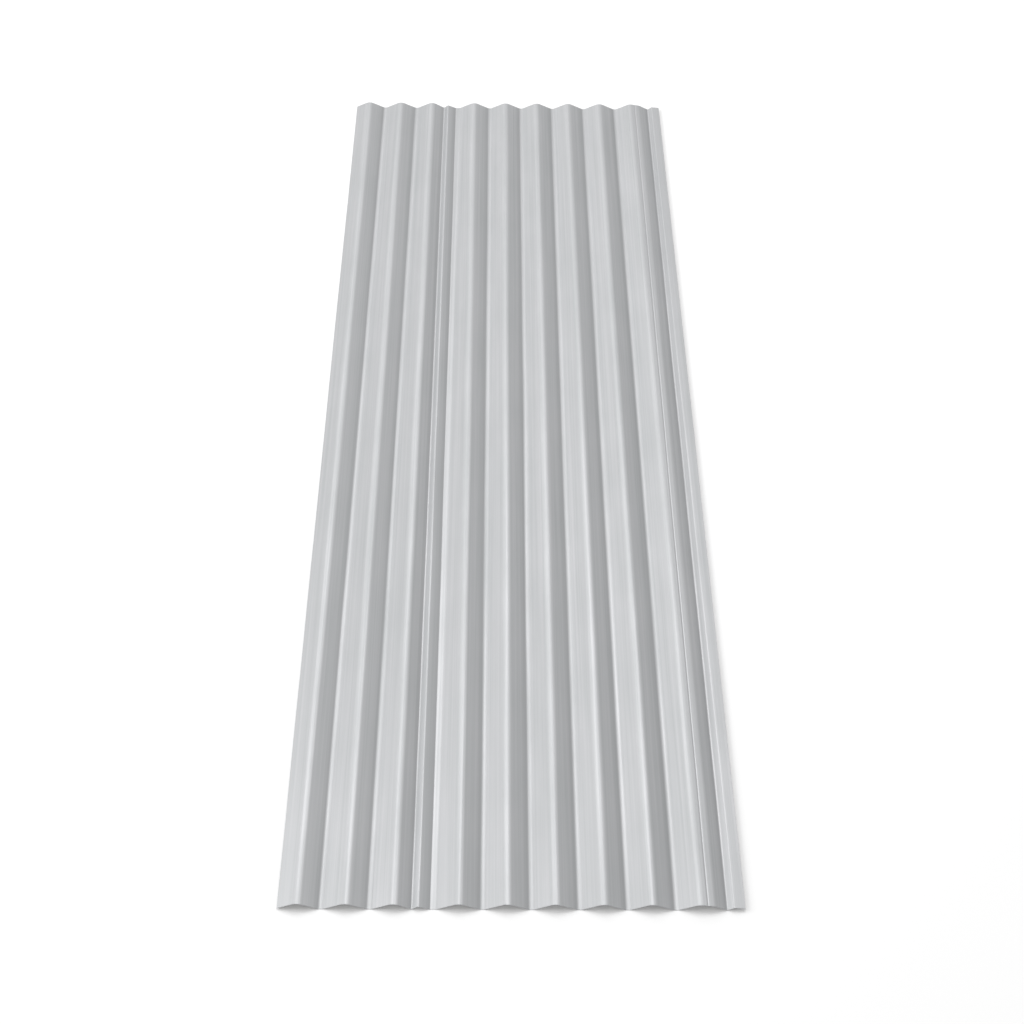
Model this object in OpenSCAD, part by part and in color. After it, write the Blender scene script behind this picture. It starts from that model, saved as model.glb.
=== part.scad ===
// Corrugated metal sheet, one rolled piece lying flat with its waves along Y.
// Across its width: plain waves, a narrow pleat between two of them, more plain waves, and a lap
// margin on the right with a sloping shoulder, a fine drip groove, a narrow valley and a low rib.
// The section is a chain of folds on the sheet's middle line. Every fold is rounded by a true arc.

/* [Sheet] */
// Length along the waves
sheet_l = 2000; // [600:10:3600]
// Thickness of the metal
gauge = 0.5; // [0.3:0.05:1]

/* [Waves] */
// Distance from one crest to the next
wave_pitch = 67.7; // [56:0.1:90]
// Rise from a valley to a crest, measured on one face
wave_depth = 12.7; // [9:0.1:18]
// Inside radius of the crests
crest_bend_r = 17.5; // [6:0.5:24]
// Inside radius of the valleys
valley_bend_r = 12; // [3:0.5:20]
// Crests left of the pleat
left_waves = 3; // [1:1:8]
// Crests right of the pleat
right_waves = 6; // [1:1:12]
// From the left edge to the first crest
left_margin_w = 27.5; // [14:0.5:32]

/* [Pleat] */
// From the crest before the pleat to its crease
pleat_crease_w = 25.8; // [22:0.1:40]
// Height of the crease above the valleys
pleat_crease_h = 0.3; // [0:0.1:4]
// Width of the short flank, from the crease to the ridge
pleat_rise_w = 8; // [6:0.1:20]
// Height of the ridge above the valleys, before its fold is rounded
pleat_ridge_h = 7; // [5:0.1:12]
// Width of the long flank, from the ridge to its foot
pleat_fall_w = 17; // [13:0.1:30]
// Flat strip between the foot and the next valley's arc
pleat_floor_w = 6; // [2:0.1:12]
// Inside radius of the pleat's folds
pleat_bend_r = 3.5; // [1:0.05:4]

/* [Lap margin] */
// Fall of the shoulder right of the last crest, in degrees
shoulder_tilt = 9; // [8:0.5:20]
// From the last crest to the shoulder's outer fold
shoulder_w = 19.2; // [18:0.1:32]
// From the last crest to the middle of the drip groove
groove_x = 9.3; // [9:0.1:14]
// Width of the drip groove
groove_w = 3.4; // [3:0.1:5]
// Depth of the drip groove
groove_d = 0.5; // [0.3:0.1:1.4]
// Inside radius of the drip groove's folds
groove_bend_r = 1; // [0.5:0.05:1.2]
// Width of the flank from the shoulder down to the narrow valley
flank_w = 18.7; // [14:0.1:26]
// Width of the rise from the narrow valley to the rib
rib_rise_w = 8.2; // [5:0.1:20]
// Height of the rib above the valleys, before its fold is rounded
rib_h = 6.2; // [4:0.1:11]
// Inside radius of the folds of the narrow valley and the rib
margin_bend_r = 4; // [1:0.1:6]
// Width of the lip from the rib to the right edge
lip_w = 15.8; // [8:0.1:24]
// Fall of the lip from the rib to the right edge
lip_drop = 1.6; // [0.5:0.1:4]

/* [Hidden] */

// Each arc is this much larger than a true tangent one, so that it crosses its flats cleanly.
blend = 0.003;
// Facets of a full circle in the preview
arc_facets = 96;
// Reach of a fold's corner wedge past the sharp corner
wedge_reach = 1;
// Depth of the filled region below the sheet, and the overrun of the region that is cut away
skirt = 40;
overrun = 5;

half_pitch = wave_pitch / 2;
half_gauge = gauge / 2;

// Radii on the middle line, reduced together where no flat would be left between a crest and a valley
bend_limit = 0.95 * (half_pitch ^ 2 + wave_depth ^ 2) / (2 * wave_depth);
bend_share = min(1, bend_limit / (crest_bend_r + valley_bend_r + gauge));
crest_r = bend_share * (crest_bend_r + half_gauge);
valley_r = bend_share * (valley_bend_r + half_gauge);
pleat_r = pleat_bend_r + half_gauge;
groove_r = groove_bend_r + half_gauge;
margin_r = margin_bend_r + half_gauge;

// The flat of a wave is the inner tangent of a crest's circle and a valley's circle.
bends = crest_r + valley_r;
centre_rise = bends - wave_depth;
wave_tilt = asin(bends / norm([half_pitch, centre_rise])) - atan2(centre_rise, half_pitch);
// A sharp corner stands this far outside its arc.
crest_corner = crest_r * (1 / cos(wave_tilt) - 1);
valley_corner = valley_r * (1 / cos(wave_tilt) - 1);

// Places across the width, from the first crest
pleat_x = (left_waves - 1) * wave_pitch;
crease_x = pleat_x + pleat_crease_w;
ridge_x = crease_x + pleat_rise_w;
foot_x = ridge_x + pleat_fall_w;
floor_x = foot_x + pleat_floor_w;
right_x = floor_x + half_pitch;
lap_x = right_x + (right_waves - 1) * wave_pitch;
shoulder_x = lap_x + shoulder_w;
drain_x = shoulder_x + flank_w;
rib_x = drain_x + rib_rise_w;
edge_x = rib_x + lip_w;

// A fold is [x, height of its sharp corner above the valleys, radius on the middle line].
function crest(x) = [x, wave_depth + crest_corner, crest_r];
function valley(x) = [x, -valley_corner, valley_r];
function wave_flat_h(from_crest) = wave_depth + crest_corner - from_crest * tan(wave_tilt);
function shoulder_h(from_crest) =
    wave_depth + crest_r * (1 / cos(shoulder_tilt) - 1) - from_crest * tan(shoulder_tilt);
function shoulder_fold(from_crest, drop, r) = [lap_x + from_crest, shoulder_h(from_crest) - drop, r];

// The last crest keeps its circle and leaves it at the shoulder's tilt.
lap_bend = wave_tilt + shoulder_tilt;
lap_lean = (wave_tilt - shoulder_tilt) / 2;
lap_corner = crest_r / cos(lap_bend / 2);
lap_crest = [
    lap_x - lap_corner * sin(lap_lean),
    wave_depth - crest_r + lap_corner * cos(lap_lean),
    crest_r
];

left_edge = [-left_margin_w, wave_flat_h(left_margin_w), 0];
left_block = [
    for (i = [0:left_waves - 1])
        each concat(i > 0 ? [valley((i - 0.5) * wave_pitch)] : [], [crest(i * wave_pitch)])
];
pleat = [
    [crease_x, pleat_crease_h, pleat_r],
    [ridge_x, pleat_ridge_h, pleat_r],
    [foot_x, 0, pleat_r],
    [floor_x + valley_r * tan(wave_tilt / 2), 0, valley_r]
];
right_block = [
    for (i = [0:1:right_waves - 2])
        each [crest(right_x + i * wave_pitch), valley(right_x + (i + 0.5) * wave_pitch)]
];
lap_margin = [
    lap_crest,
    shoulder_fold(groove_x - groove_w / 2, 0, groove_r),
    shoulder_fold(groove_x, groove_d, groove_r),
    shoulder_fold(groove_x + groove_w / 2, 0, groove_r),
    shoulder_fold(shoulder_w, 0, crest_r),
    [drain_x, 0, margin_r],
    [rib_x, rib_h, margin_r],
    [edge_x, rib_h - lip_drop, 0]
];
folds = concat([left_edge], left_block, pleat, right_block, lap_margin);
last = len(folds) - 1;

function up(a) = [-sin(a), cos(a)];
function along(a) = [cos(a), sin(a)];
function corner(i) = [folds[i][0], folds[i][1]];
function heading(i) = atan2(folds[i + 1][1] - folds[i][1], folds[i + 1][0] - folds[i][0]);
function turn(i) = heading(i) - heading(i - 1);
function mean_heading(i) = (heading(i) + heading(i - 1)) / 2;
function is_crest(i) = turn(i) < 0;
function lifted(i, lift) = corner(i) + lift / cos(turn(i) / 2) * up(mean_heading(i));

// The part of a fold's sharp corner that lies outside its arc, on the face lifted off the middle line
module corner_piece(i, lift) {
    side = is_crest(i) ? 1 : -1;
    r = folds[i][2] + side * lift + blend;
    centre = corner(i) - side * folds[i][2] / cos(turn(i) / 2) * up(mean_heading(i));
    reach = r / cos(turn(i) / 2) + wedge_reach;
    headings = [for (k = [1, 0, -1]) mean_heading(i) + k * abs(turn(i)) / 2];
    difference() {
        polygon(concat([centre], [for (a = headings) centre + side * reach * up(a)]));
        translate(centre)
            circle(r = r, $fn = arc_facets);
    }
}

// Everything below the sheet's face at the given lift, run out past both edges
module below(lift, out) {
    first_a = heading(0);
    last_a = heading(last - 1);
    first_p = corner(0) - out * along(first_a);
    last_p = corner(last) + out * along(last_a);
    difference() {
        union() {
            polygon(concat(
                [first_p - (skirt + out) * up(first_a), first_p + lift * up(first_a)],
                [for (i = [1:last - 1]) lifted(i, lift)],
                [last_p + lift * up(last_a), last_p - (skirt + out) * up(last_a)]
            ));
            for (i = [1:last - 1])
                if (!is_crest(i))
                    corner_piece(i, lift);
        }
        for (i = [1:last - 1])
            if (is_crest(i))
                corner_piece(i, lift);
    }
}

// The edges are cut square to the sheet, so each one's corner reaches a little past the middle line.
left_end = -left_margin_w - half_gauge * abs(sin(heading(0)));
right_end = edge_x + half_gauge * abs(sin(heading(last - 1)));
middle_x = (left_end + right_end) / 2;

module section() {
    difference() {
        below(half_gauge, 0);
        below(-half_gauge, overrun);
    }
}

module corrugated_sheet() {
    color([0.76, 0.77, 0.78])
        translate([-middle_x, 0, half_gauge + blend])
            rotate([90, 0, 0])
                linear_extrude(height = sheet_l, center = true)
                    section();
}

corrugated_sheet();
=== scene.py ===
"""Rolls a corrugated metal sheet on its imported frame, coats it and lays it in a plain studio."""

import math
from typing import NamedTuple

import bpy
from bpy.props import FloatProperty, FloatVectorProperty, IntProperty, PointerProperty
from mathutils import Matrix, Vector, noise


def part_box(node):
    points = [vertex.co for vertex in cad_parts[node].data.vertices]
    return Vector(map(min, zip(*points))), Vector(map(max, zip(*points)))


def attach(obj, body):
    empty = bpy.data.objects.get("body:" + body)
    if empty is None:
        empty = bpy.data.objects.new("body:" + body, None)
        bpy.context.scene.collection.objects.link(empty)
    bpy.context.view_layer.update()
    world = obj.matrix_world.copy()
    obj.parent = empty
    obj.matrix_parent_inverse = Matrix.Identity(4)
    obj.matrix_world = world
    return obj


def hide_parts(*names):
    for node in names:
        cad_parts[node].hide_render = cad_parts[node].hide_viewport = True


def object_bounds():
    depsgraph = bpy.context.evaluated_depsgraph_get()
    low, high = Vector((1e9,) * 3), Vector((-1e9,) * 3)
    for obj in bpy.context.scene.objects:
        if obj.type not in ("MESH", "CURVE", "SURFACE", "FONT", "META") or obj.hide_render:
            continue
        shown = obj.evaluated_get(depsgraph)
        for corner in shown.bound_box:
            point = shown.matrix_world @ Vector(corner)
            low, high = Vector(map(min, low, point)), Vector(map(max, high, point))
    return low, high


bl_info = {
    "name": "Corrugated Sheet",
    "version": (1, 0, 0),
    "blender": (4, 5, 0),
    "location": "View3D > Sidebar > Sheet",
    "description": "Rolls a corrugated metal sheet, coats it and lays it in a plain studio",
    "category": "Object",
}

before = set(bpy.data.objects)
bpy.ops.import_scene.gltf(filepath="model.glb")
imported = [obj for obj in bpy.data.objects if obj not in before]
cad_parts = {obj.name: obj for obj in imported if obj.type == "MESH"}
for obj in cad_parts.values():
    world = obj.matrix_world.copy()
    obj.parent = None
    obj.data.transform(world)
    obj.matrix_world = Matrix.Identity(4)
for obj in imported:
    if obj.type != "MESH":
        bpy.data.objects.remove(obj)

LAMPS = ("left", "top", "back")
SHEET_NODE = "corrugated_sheet"
SHEET_NAME = "rolled_sheet"
# Name of the point layer that holds the painted shade at the feet of the flanks that fall to the right
PAINTED_SHADE_LAYER = "dirt"
UPPER, UNDER, CUT = range(3)
CAD_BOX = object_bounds()
MM = 0.001
WHITE = (1, 1, 1, 1)
SENSOR_W = 36
FLOOR_GAP = 0.2 * MM

# Share of the room between a crest and a valley that their bends may fill
BEND_ROOM = 0.95
FEWEST_ARC_STEPS = 2

# Layers of the noise from which the strays of the sheet are read
SWAY_LAYER = 3.7
BULGE_LAYER = 8.3


class Grain(NamedTuple):
    """The grain of a noise: its size along each axis, in metres, and how fine it gets."""

    size: tuple
    detail: int


class Relief(NamedTuple):
    """The fine relief of a finish: its strength, and its depth in metres."""

    strength: float
    depth: float


COAT_LINES = Grain((0.0025, 0.5, 0.0025), 2)
COAT_BANDS = Grain((0.008, 0.9, 0.008), 3)
COAT_CLOUDS = Grain((0.05, 0.13, 0.05), 3)
COAT_PEEL = Grain((0.0012, 0.0018, 0.0012), 1)
COAT_RELIEF = Relief(0.25, 0.00002)
BACKING_BANDS = Grain((0.014, 0.7, 0.014), 3)
BACKING_PEEL = Grain((0.002, 0.002, 0.002), 2)
BACKING_RELIEF = Relief(0.3, 0.00003)
EDGE_SHEAR = Grain((0.0012, 0.0012, 0.0002), 3)

# Middle of a noise's range
MIDDLE = 0.5
# Shares of the peel and of the lines in the relief of the coating
PEEL_SHARE = 0.6
LINE_SHARE = 0.4
# How far the roughness of each finish strays with its tone
COAT_GLOSS_STRAY = 0.12
BACKING_GLOSS_STRAY = 0.1
EDGE_GLOSS_STRAY = 0.2
# Brightness of the darkest places of a finish, as a share of its colour
BACKING_DARKEST = 0.9
EDGE_DARKEST = 0.75


def length(name, description, millimetres):
    """A size that is written in millimetres and kept in metres."""
    return FloatProperty(
        name=name, description=description, default=millimetres * MM, unit="LENGTH", precision=5
    )


def place(name, description, metres):
    """A place in the frame, in metres."""
    return FloatVectorProperty(
        name=name, description=description, default=metres, subtype="TRANSLATION", unit="LENGTH"
    )


def size(name, description, metres):
    """A width and a height, in metres."""
    return FloatVectorProperty(
        name=name, description=description, default=metres, size=2, unit="LENGTH", min=0
    )


def angle(name, description, degrees):
    """An angle that is written in degrees and kept in radians."""
    return FloatProperty(
        name=name, description=description, default=math.radians(degrees), subtype="ANGLE"
    )


def colour(name, description, rgb):
    """A linear colour."""
    return FloatVectorProperty(
        name=name, description=description, default=rgb, subtype="COLOR", min=0, max=1
    )


def share(name, description, amount):
    """An amount from none, 0, to full, 1."""
    return FloatProperty(
        name=name, description=description, default=amount, subtype="FACTOR", min=0, max=1
    )


def power(name, description, watts):
    """A lamp's power."""
    return FloatProperty(name=name, description=description, default=watts, unit="POWER", min=0)


class SheetProfile(bpy.types.PropertyGroup):
    """Sizes of the rolled section and of its small unevenness."""

    gauge: length("Gauge", "Thickness of the metal", 0.5)
    wave_pitch: length("Wave pitch", "Distance from one crest to the next", 67.7)
    wave_depth: length("Wave depth", "Rise from a valley to a crest", 12.7)
    crest_bend_r: length("Crest bend", "Inside radius of the crests", 17.5)
    valley_bend_r: length("Valley bend", "Inside radius of the valleys", 12.0)
    left_waves: IntProperty(name="Left waves", description="Crests left of the pleat", default=3, min=1)
    right_waves: IntProperty(name="Right waves", description="Crests right of the pleat", default=6, min=1)
    left_margin_w: length("Left margin", "From the left edge to the first crest", 27.5)
    pleat_crease_w: length("Pleat crease", "From the crest before the pleat to its crease", 25.8)
    pleat_crease_h: length("Crease height", "Height of the crease above the valleys", 0.3)
    pleat_rise_w: length("Pleat rise", "Width of the short flank up to the ridge", 8.0)
    pleat_ridge_h: length("Ridge height", "Height of the ridge before it is rounded", 7.0)
    pleat_fall_w: length("Pleat fall", "Width of the long flank down to its foot", 17.0)
    pleat_floor_w: length("Pleat floor", "Flat strip between the foot and the next valley", 6.0)
    pleat_bend_r: length("Pleat bend", "Inside radius of the pleat's folds", 3.5)
    shoulder_tilt: angle("Shoulder tilt", "Fall of the shoulder right of the last crest", 9)
    shoulder_w: length("Shoulder", "From the last crest to the shoulder's outer fold", 19.2)
    groove_x: length("Groove place", "From the last crest to the middle of the drip groove", 9.3)
    groove_w: length("Groove width", "Width of the drip groove", 3.4)
    groove_d: length("Groove depth", "Depth of the drip groove", 0.5)
    groove_bend_r: length("Groove bend", "Inside radius of the drip groove's folds", 1.0)
    flank_w: length("Flank", "Width of the flank down to the narrow valley", 18.7)
    rib_rise_w: length("Rib rise", "Width of the rise from the narrow valley to the rib", 8.2)
    rib_h: length("Rib height", "Height of the rib before it is rounded", 6.2)
    margin_bend_r: length("Margin bend", "Inside radius of the narrow valley and the rib", 4.0)
    lip_w: length("Lip", "Width of the lip from the rib to the right edge", 15.8)
    lip_drop: length("Lip drop", "Fall of the lip from the rib to the right edge", 1.6)
    arc_step: angle("Arc step", "Largest turn between two points of a bend", 5)
    flat_step: length("Flat step", "Largest distance between two points of a flat", 9.0)
    row_step: length("Row step", "Distance between two rows of points along the sheet", 20.0)
    sway: length("Sway", "How far the folds stray sideways along the sheet", 0.35)
    sway_l: length("Sway length", "Length of one stray of a fold", 190)
    bulge: length("Bulge", "How far the flats stray up or down", 0.1)
    bulge_l: length("Bulge length", "Length of one bulge along the sheet", 260)
    # Painted shade: how far up a flank that falls to the right the coating is darkened, and from which
    # fall, standing in for the shade at the valleys' feet
    painted_shade_h: length("Dirt height", "How far the dirt reaches up a flank", 5.0)
    painted_shade_tilt: angle("Dirt tilt", "Fall to the right from which dirt sticks, in full at twice the fall", 11)


class SheetFinish(bpy.types.PropertyGroup):
    """Colours and gloss of the coating, the backing coat and the cut edges."""

    coat_light: colour("Coating", "Colour of the coating", (0.575, 0.576, 0.590))
    coat_dark: colour("Coating streaks", "Colour of the coating where it lies thin", (0.445, 0.459, 0.465))
    coat_metal: share("Flake", "How much of the coating is metal flake", 0.6)
    coat_rough: share("Coating roughness", "Roughness of the coating", 0.5)
    lines: share("Lines", "Contrast of the fine lines along the coating", 0.9)
    bands: share("Bands", "Contrast of the broader bands along the coating", 0.75)
    clouds: share("Clouds", "Contrast of the coating's cloudy patches", 0.5)
    # Painted shade: the dark colour and its cover painted along the feet of the flanks that fall to the
    # right
    dirt: colour("Painted shade", "Colour of the dirt along the feet of the flanks", (0.29, 0.297, 0.302))
    painted_shade_cover: share("Dirt cover", "How much of the coating the dirt covers", 0.5)
    backing: colour("Backing coat", "Colour of the coat on the underside", (0.42, 0.425, 0.42))
    backing_rough: share("Backing roughness", "Roughness of the backing coat", 0.62)
    bare: colour("Bare edge", "Colour of the cut metal", (0.5, 0.51, 0.53))
    bare_rough: share("Edge roughness", "Roughness of the cut metal", 0.38)


class StudioStage(bpy.types.PropertyGroup):
    """The camera, the lamps and the floor."""

    camera_place: place("Camera", "Where the camera stands", (-0.0304, -2.3563, 2.1844))
    camera_pitch: angle("Pitch", "How far the camera looks down", 45.691)
    camera_yaw: angle("Yaw", "How far the camera turns to the left", -0.924)
    camera_roll: angle("Roll", "How far the camera leans", 0.991)
    camera_lens: FloatProperty(
        name="Lens", description="Focal length of the camera, in millimetres", default=63.24, unit="CAMERA"
    )
    floor_w: length("Floor", "Width of the floor", 30000)
    floor_colour: colour("Floor colour", "Colour of the floor", (0.92, 0.92, 0.92))
    floor_glow: share("Floor white", "Light added to the floor where it is the background", 0.08)
    sky: share("Sky", "Strength of the even light from all around", 0.59)
    left_power: power("Left lamp", "Power of the lamp on the left", 208)
    left_place: place("Left place", "Where the lamp on the left hangs", (-6.05, 0, 3.5))
    left_size: size("Left size", "Width and height of the lamp on the left", (3.6, 3.6))
    top_power: power("Top lamp", "Power of the lamp high beyond the far end", 154)
    top_place: place("Top place", "Where the lamp high beyond the far end hangs", (0, 2.95, 6.3))
    top_size: size("Top size", "Width and height of the lamp high beyond the far end", (3.6, 3.6))
    back_power: power("Back lamp", "Power of the lamp beyond the far left corner", 42)
    back_place: place("Back place", "Where the lamp beyond the far left corner hangs", (-2.5, 4.95, 4.3))
    back_size: size("Back size", "Width and height of the lamp beyond the far left corner", (3.6, 3.6))


class Fold(NamedTuple):
    """A fold of the middle line: its sharp corner above the valleys and its radius."""

    x: float
    height: float
    radius: float


class Spot(NamedTuple):
    """A point of the middle line and the heading of the line there."""

    x: float
    z: float
    heading: float


def sheet_folds(p):
    """The folds of the section from the left edge to the right, measured from the first crest."""
    half_pitch = p.wave_pitch / 2
    half_gauge = p.gauge / 2
    bend_limit = BEND_ROOM * (half_pitch**2 + p.wave_depth**2) / (2 * p.wave_depth)
    bend_share = min(1, bend_limit / (p.crest_bend_r + p.valley_bend_r + p.gauge))
    crest_r = bend_share * (p.crest_bend_r + half_gauge)
    valley_r = bend_share * (p.valley_bend_r + half_gauge)
    pleat_r = p.pleat_bend_r + half_gauge
    groove_r = p.groove_bend_r + half_gauge
    margin_r = p.margin_bend_r + half_gauge
    bends = crest_r + valley_r
    centre_rise = bends - p.wave_depth
    tilt = math.asin(bends / math.hypot(half_pitch, centre_rise)) - math.atan2(centre_rise, half_pitch)
    crest_h = p.wave_depth + crest_r * (1 / math.cos(tilt) - 1)
    valley_h = -valley_r * (1 / math.cos(tilt) - 1)

    def crest(x):
        return Fold(x, crest_h, crest_r)

    def valley(x):
        return Fold(x, valley_h, valley_r)

    left_edge = Fold(-p.left_margin_w, crest_h - p.left_margin_w * math.tan(tilt), 0)
    folds = [left_edge, crest(0)]
    for i in range(1, p.left_waves):
        folds += [valley((i - 0.5) * p.wave_pitch), crest(i * p.wave_pitch)]

    crease_x = (p.left_waves - 1) * p.wave_pitch + p.pleat_crease_w
    ridge_x = crease_x + p.pleat_rise_w
    foot_x = ridge_x + p.pleat_fall_w
    floor_x = foot_x + p.pleat_floor_w
    folds += [
        Fold(crease_x, p.pleat_crease_h, pleat_r),
        Fold(ridge_x, p.pleat_ridge_h, pleat_r),
        Fold(foot_x, 0, pleat_r),
        Fold(floor_x + valley_r * math.tan(tilt / 2), 0, valley_r),
    ]

    right_x = floor_x + half_pitch
    for i in range(p.right_waves - 1):
        folds += [crest(right_x + i * p.wave_pitch), valley(right_x + (i + 0.5) * p.wave_pitch)]

    lap_x = right_x + (p.right_waves - 1) * p.wave_pitch
    lap_lean = (tilt - p.shoulder_tilt) / 2
    lap_corner = crest_r / math.cos((tilt + p.shoulder_tilt) / 2)
    shoulder_top = p.wave_depth + crest_r * (1 / math.cos(p.shoulder_tilt) - 1)

    def shoulder(from_crest, drop, radius):
        height = shoulder_top - from_crest * math.tan(p.shoulder_tilt) - drop
        return Fold(lap_x + from_crest, height, radius)

    drain_x = lap_x + p.shoulder_w + p.flank_w
    rib_x = drain_x + p.rib_rise_w
    folds += [
        Fold(
            lap_x - lap_corner * math.sin(lap_lean),
            p.wave_depth - crest_r + lap_corner * math.cos(lap_lean),
            crest_r,
        ),
        shoulder(p.groove_x - p.groove_w / 2, 0, groove_r),
        shoulder(p.groove_x, p.groove_d, groove_r),
        shoulder(p.groove_x + p.groove_w / 2, 0, groove_r),
        shoulder(p.shoulder_w, 0, crest_r),
        Fold(drain_x, 0, margin_r),
        Fold(rib_x, p.rib_h, margin_r),
        Fold(rib_x + p.lip_w, p.rib_h - p.lip_drop, 0),
    ]
    return folds


def up(heading):
    """The direction square to a heading, on its upper side."""
    return Vector((-math.sin(heading), math.cos(heading)))


def fold_arc(before, fold, after, arc_step):
    """The points of one fold's arc."""
    first = math.atan2(fold.height - before.height, fold.x - before.x)
    last = math.atan2(after.height - fold.height, after.x - fold.x)
    side = 1 if last < first else -1
    away = side * fold.radius
    middle = (first + last) / 2
    centre = Vector((fold.x, fold.height)) - away / math.cos((last - first) / 2) * up(middle)
    steps = max(FEWEST_ARC_STEPS, math.ceil(abs(last - first) / arc_step))
    arc = []
    for i in range(steps + 1):
        heading = first + (last - first) * i / steps
        spot = centre + away * up(heading)
        arc.append(Spot(spot.x, spot.y, heading))
    return arc


def section_line(p):
    """The middle line of the section as points, with its arcs and flats divided."""
    folds = sheet_folds(p)
    first = math.atan2(folds[1].height - folds[0].height, folds[1].x - folds[0].x)
    last = math.atan2(folds[-1].height - folds[-2].height, folds[-1].x - folds[-2].x)
    stretches = [[Spot(folds[0].x, folds[0].height, first)]]
    for before, fold, after in zip(folds, folds[1:], folds[2:]):
        stretches.append(fold_arc(before, fold, after, p.arc_step))
    stretches.append([Spot(folds[-1].x, folds[-1].height, last)])

    line = list(stretches[0])
    for stretch in stretches[1:]:
        start, end = line[-1], stretch[0]
        steps = math.ceil(math.hypot(end.x - start.x, end.z - start.z) / p.flat_step)
        for i in range(1, steps):
            line.append(
                Spot(
                    start.x + (end.x - start.x) * i / steps,
                    start.z + (end.z - start.z) * i / steps,
                    end.heading,
                )
            )
        line += stretch
    return line


def face_points(line, lift):
    """The points of one face of the sheet, lifted off its middle line."""
    points = []
    for spot in line:
        out = up(spot.heading)
        points.append((spot.x + lift * out.x, spot.z + lift * out.y))
    return points


def stray(p, x, y):
    """How far the rolled sheet strays from its true section at a place, sideways and up."""
    across = p.wave_pitch / 2
    sideways = noise.noise(Vector((x / across, y / p.sway_l, SWAY_LAYER)))
    upward = noise.noise(Vector((x / (across / 2), y / p.bulge_l, BULGE_LAYER)))
    return p.sway * sideways, p.bulge * upward


def foot_painted_shade(p, spot):
    """How much painted shade darkens the upper face at a point: most at the foot of a flank that falls to
    the right.
    """
    fall = -spot.heading / p.painted_shade_tilt - 1
    low = 1 - spot.z / p.painted_shade_h
    return min(max(fall, 0), 1) * min(max(low, 0), 1)


def sharpen_rims(mesh):
    """Keeps the rims sharp, where the faces meet the cut edges."""
    finish_of = {}
    rims = set()
    for polygon in mesh.polygons:
        for edge in polygon.edge_keys:
            if finish_of.setdefault(edge, polygon.material_index) != polygon.material_index:
                rims.add(edge)
    for edge in mesh.edges:
        edge.use_edge_sharp = edge.key in rims


def sheet_mesh(p, low, high):
    """The closed mesh of the sheet: its upper face, its underside and its cut edges."""
    line = section_line(p)
    upper = face_points(line, p.gauge / 2)
    under = face_points(line, -p.gauge / 2)
    ring = upper + under[::-1]
    left = min(x for x, z in ring)
    right = max(x for x, z in ring)
    bottom = min(z for x, z in ring)
    shift = (low.x + high.x - left - right) / 2
    lift = low.z - bottom

    rows = round((high.y - low.y) / p.row_step)
    count = len(ring)
    across = len(upper)
    # Painted shade on the upper face only, none on the underside
    ring_painted_shade = [foot_painted_shade(p, spot) for spot in line] + [0] * across
    vertices = []
    for row in range(rows + 1):
        y = low.y + (high.y - low.y) * row / rows
        for i, (x, z) in enumerate(ring):
            on_line = line[i if i < across else count - 1 - i]
            sideways, upward = stray(p, on_line.x, y)
            vertices.append((x + shift + sideways, y, z + lift + upward))

    faces = []
    finishes = []
    for row in range(rows):
        for i in range(count):
            a = row * count + i
            b = row * count + (i + 1) % count
            faces.append((a, b, b + count, a + count))
            cut = i in (across - 1, count - 1)
            finishes.append(CUT if cut else UPPER if i < across else UNDER)
    far = rows * count
    for i in range(across - 1):
        j = count - 1 - i
        faces.append((i, j, j - 1, i + 1))
        faces.append((far + i, far + i + 1, far + j - 1, far + j))
        finishes += [CUT, CUT]

    mesh = bpy.data.meshes.new(SHEET_NAME)
    mesh.from_pydata(vertices, [], faces)
    mesh.polygons.foreach_set("material_index", finishes)
    # Keeps the painted shade of each point for the coating
    dirt = mesh.attributes.new(PAINTED_SHADE_LAYER, "FLOAT", "POINT")
    dirt.data.foreach_set("value", ring_painted_shade * (rows + 1))
    mesh.shade_smooth()
    sharpen_rims(mesh)
    mesh.validate()
    return mesh


class Value:
    """A socket in a shader expression. Each operator adds its Math node."""

    def __init__(self, shader, socket):
        self.shader = shader
        self.socket = socket

    def math(self, operation, first, second):
        return self.shader.add("ShaderNodeMath", {"operation": operation}, {0: first, 1: second})

    def __add__(self, other):
        return self.math("ADD", self, other)

    def __sub__(self, other):
        return self.math("SUBTRACT", self, other)

    def __rsub__(self, other):
        return self.math("SUBTRACT", other, self)

    def __mul__(self, other):
        return self.math("MULTIPLY", self, other)

    __radd__ = __add__
    __rmul__ = __mul__


class Shader:
    """The node tree of a material or of the world."""

    def __init__(self, owner):
        owner.use_nodes = True
        self.tree = owner.node_tree
        self.tree.nodes.clear()

    def add(self, kind, settings=None, inputs=None, output=0):
        """Adds a node, sets it up, fills its sockets and returns one of its outputs."""
        node = self.tree.nodes.new(kind)
        for name, setting in (settings or {}).items():
            setattr(node, name, setting)
        for key, value in (inputs or {}).items():
            socket = self.find(node.inputs, key)
            if isinstance(value, Value):
                self.tree.links.new(value.socket, socket)
            else:
                socket.default_value = value
        return Value(self, self.find(node.outputs, output)) if node.outputs else None

    @staticmethod
    def find(sockets, key):
        """A socket by its number or its identifier."""
        if isinstance(key, int):
            return sockets[key]
        return next(socket for socket in sockets if socket.identifier == key)


def stretched_noise(shader, grain):
    """Noise of the given grain, fixed to the sheet."""
    spot = shader.add("ShaderNodeTexCoord", output="Object")
    scaled = shader.add("ShaderNodeVectorMath", {"operation": "DIVIDE"}, {0: spot, 1: grain.size})
    return shader.add("ShaderNodeTexNoise", {}, {"Vector": scaled, "Scale": 1, "Detail": grain.detail})


def fine_relief(shader, relief, height):
    """The normal of a surface with fine relief."""
    return shader.add(
        "ShaderNodeBump",
        {},
        {"Strength": relief.strength, "Distance": relief.depth, "Height": height},
        "Normal",
    )


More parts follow.
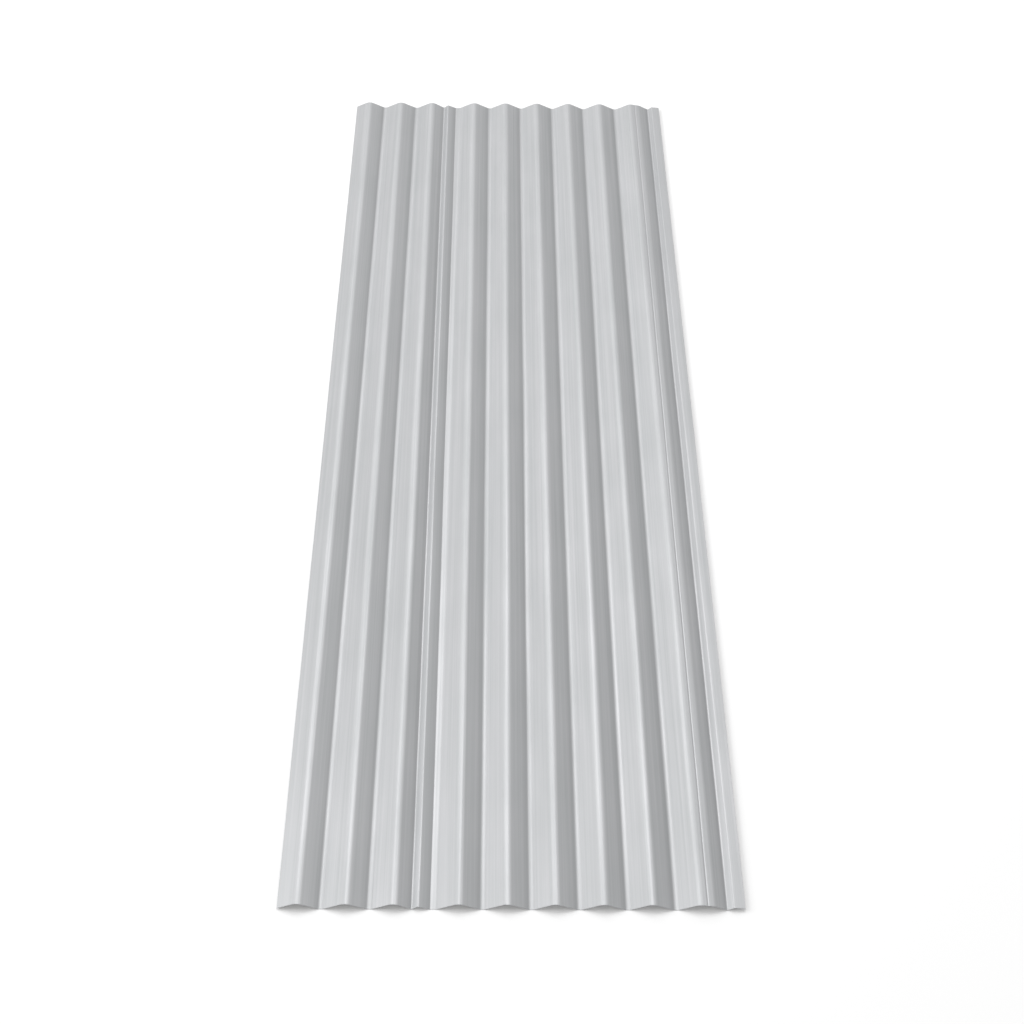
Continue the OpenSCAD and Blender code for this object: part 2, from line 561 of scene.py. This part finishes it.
def mixed_colour(shader, factor, first, second):
    """A colour between two others. The first may be a mixed colour itself."""
    if not isinstance(first, Value):
        first = (*first, 1)
    return shader.add(
        "ShaderNodeMix",
        {"data_type": "RGBA"},
        {"Factor_Float": factor, "A_Color": first, "B_Color": (*second, 1)},
        "Result_Color",
    )


def coated_face(finish):
    """The satin coating: lengthwise lines and bands, cloudy patches, a fine peel, and painted shade
    darkening the feet of the flanks that fall to the right.
    """
    material = bpy.data.materials.new("coated_face")
    shader = Shader(material)
    lines = stretched_noise(shader, COAT_LINES)
    bands = stretched_noise(shader, COAT_BANDS)
    clouds = stretched_noise(shader, COAT_CLOUDS)
    peel = stretched_noise(shader, COAT_PEEL)
    streaks = finish.lines * (lines - MIDDLE) + finish.bands * (bands - MIDDLE)
    tone = streaks + finish.clouds * (clouds - MIDDLE) + MIDDLE
    clean = mixed_colour(shader, tone, finish.coat_dark, finish.coat_light)
    # Painted shade: darkens the coating at the feet of the flanks that fall to the right, varied by the
    # bands
    dirt = shader.add("ShaderNodeAttribute", {"attribute_name": PAINTED_SHADE_LAYER}, output="Fac")
    cover = finish.painted_shade_cover * dirt * (bands + MIDDLE)
    height = PEEL_SHARE * peel + LINE_SHARE * lines
    surface = shader.add(
        "ShaderNodeBsdfPrincipled",
        {},
        {
            "Base Color": mixed_colour(shader, cover, clean, finish.dirt),
            "Metallic": finish.coat_metal,
            "Roughness": finish.coat_rough + COAT_GLOSS_STRAY * (MIDDLE - tone),
            "Normal": fine_relief(shader, COAT_RELIEF, height),
        },
    )
    shader.add("ShaderNodeOutputMaterial", {}, {"Surface": surface})
    return material


def backing_face(finish):
    """The matt backing coat of the underside."""
    material = bpy.data.materials.new("backing_face")
    shader = Shader(material)
    bands = stretched_noise(shader, BACKING_BANDS)
    peel = stretched_noise(shader, BACKING_PEEL)
    darker = [BACKING_DARKEST * channel for channel in finish.backing]
    surface = shader.add(
        "ShaderNodeBsdfPrincipled",
        {},
        {
            "Base Color": mixed_colour(shader, bands, darker, finish.backing),
            "Roughness": finish.backing_rough + BACKING_GLOSS_STRAY * (bands - MIDDLE),
            "Normal": fine_relief(shader, BACKING_RELIEF, peel),
        },
    )
    shader.add("ShaderNodeOutputMaterial", {}, {"Surface": surface})
    return material


def cut_edge(finish):
    """The bare sheared metal of the ends and the long edges."""
    material = bpy.data.materials.new("cut_edge")
    shader = Shader(material)
    shear = stretched_noise(shader, EDGE_SHEAR)
    darker = [EDGE_DARKEST * channel for channel in finish.bare]
    surface = shader.add(
        "ShaderNodeBsdfPrincipled",
        {},
        {
            "Base Color": mixed_colour(shader, shear, darker, finish.bare),
            "Metallic": 1,
            "Roughness": finish.bare_rough + EDGE_GLOSS_STRAY * (shear - MIDDLE),
        },
    )
    shader.add("ShaderNodeOutputMaterial", {}, {"Surface": surface})
    return material


def floor_surface(stage):
    """A pale floor that is white as the background and keeps the sheet's shadow."""
    material = bpy.data.materials.new("studio_floor")
    shader = Shader(material)
    seen = (
        shader.add("ShaderNodeLightPath", output="Is Camera Ray")
        + shader.add("ShaderNodeLightPath", output="Is Glossy Ray")
        + shader.add("ShaderNodeLightPath", output="Is Transmission Ray")
    )
    lit = shader.add("ShaderNodeBsdfDiffuse", {}, {"Color": (*stage.floor_colour, 1)})
    glow = shader.add("ShaderNodeEmission", {}, {"Color": WHITE, "Strength": stage.floor_glow})
    background = shader.add("ShaderNodeAddShader", {}, {0: lit, 1: glow})
    surface = shader.add("ShaderNodeMixShader", {}, {0: seen, 1: lit, 2: background})
    shader.add("ShaderNodeOutputMaterial", {}, {"Surface": surface})
    return material


def link(obj):
    """Adds an object to the scene."""
    bpy.context.scene.collection.objects.link(obj)
    return obj


def lay_floor(stage):
    """The floor, just below the sheet."""
    half = stage.floor_w / 2
    z = CAD_BOX[0].z - FLOOR_GAP
    corners = [(-half, -half, z), (half, -half, z), (half, half, z), (-half, half, z)]
    mesh = bpy.data.meshes.new("studio_floor")
    mesh.from_pydata(corners, [], [(0, 1, 2, 3)])
    mesh.materials.append(floor_surface(stage))
    link(bpy.data.objects.new("studio_floor", mesh))


def hang_lamp(name, spot, spread, watts):
    """A soft lamp aimed at the middle of the sheet."""
    lamp = bpy.data.lights.new(name, "AREA")
    lamp.shape = "RECTANGLE"
    lamp.size, lamp.size_y = spread
    lamp.energy = watts
    holder = link(bpy.data.objects.new(name, lamp))
    holder.location = spot
    holder.rotation_euler = (-Vector(spot)).to_track_quat("-Z", "Y").to_euler()


def fill_sky(scene, stage):
    """An even light from all around."""
    world = bpy.data.worlds.new("studio_sky")
    shader = Shader(world)
    sky = shader.add("ShaderNodeBackground", {}, {"Color": WHITE, "Strength": stage.sky})
    shader.add("ShaderNodeOutputWorld", {}, {"Surface": sky})
    scene.world = world


def aim_camera(stage):
    """The camera at the photograph's viewing angle."""
    lens = bpy.data.cameras.new("camera")
    lens.sensor_width = SENSOR_W
    lens.lens = stage.camera_lens
    camera = link(bpy.data.objects.new("camera", lens))
    camera.matrix_world = (
        Matrix.Translation(stage.camera_place)
        @ Matrix.Rotation(stage.camera_yaw, 4, "Z")
        @ Matrix.Rotation(math.pi / 2 - stage.camera_pitch, 4, "X")
        @ Matrix.Rotation(stage.camera_roll, 4, "Z")
    )
    return camera


class SHEET_OT_roll(bpy.types.Operator):
    """Roll the sheet at full fineness and coat it"""

    bl_idname = "sheet.roll"
    bl_label = "Roll sheet"

    def execute(self, context):
        low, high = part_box(SHEET_NODE)
        mesh = sheet_mesh(context.scene.sheet_profile, low, high)
        finish = context.scene.sheet_finish
        for make in (coated_face, backing_face, cut_edge):
            mesh.materials.append(make(finish))
        sheet = link(bpy.data.objects.new(SHEET_NAME, mesh))
        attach(sheet, "root")
        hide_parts(SHEET_NODE)
        return {"FINISHED"}


class SHEET_OT_stage(bpy.types.Operator):
    """Set the floor, the lamps and the camera"""

    bl_idname = "sheet.stage"
    bl_label = "Set stage"

    def execute(self, context):
        scene = context.scene
        stage = scene.studio_stage
        lay_floor(stage)
        for name in LAMPS:
            spot, spread, watts = (getattr(stage, f"{name}_{part}") for part in ("place", "size", "power"))
            hang_lamp(f"{name}_lamp", spot, spread, watts)
        fill_sky(scene, stage)
        scene.camera = aim_camera(stage)
        scene.view_settings.view_transform = "Standard"
        return {"FINISHED"}


class VIEW3D_PT_sheet(bpy.types.Panel):
    """Lists the sheet's sizes, its finish and the stage"""

    bl_label = "Corrugated Sheet"
    bl_space_type = "VIEW_3D"
    bl_region_type = "UI"
    bl_category = "Sheet"

    def draw(self, context):
        scene = context.scene
        groups = (scene.sheet_profile, scene.sheet_finish, scene.studio_stage)
        for operator in (SHEET_OT_roll, SHEET_OT_stage):
            self.layout.operator(operator.bl_idname)
        for group in groups:
            box = self.layout.box()
            for name in group.__annotations__:
                box.prop(group, name)


CLASSES = (SheetProfile, SheetFinish, StudioStage, SHEET_OT_roll, SHEET_OT_stage, VIEW3D_PT_sheet)


def register():
    for cls in CLASSES:
        bpy.utils.register_class(cls)
    bpy.types.Scene.sheet_profile = PointerProperty(type=SheetProfile)
    bpy.types.Scene.sheet_finish = PointerProperty(type=SheetFinish)
    bpy.types.Scene.studio_stage = PointerProperty(type=StudioStage)


def unregister():
    del bpy.types.Scene.studio_stage
    del bpy.types.Scene.sheet_finish
    del bpy.types.Scene.sheet_profile
    for cls in reversed(CLASSES):
        bpy.utils.unregister_class(cls)


def main():
    register()
    bpy.ops.sheet.roll()
    bpy.ops.sheet.stage()


if __name__ == "__main__":
    main()
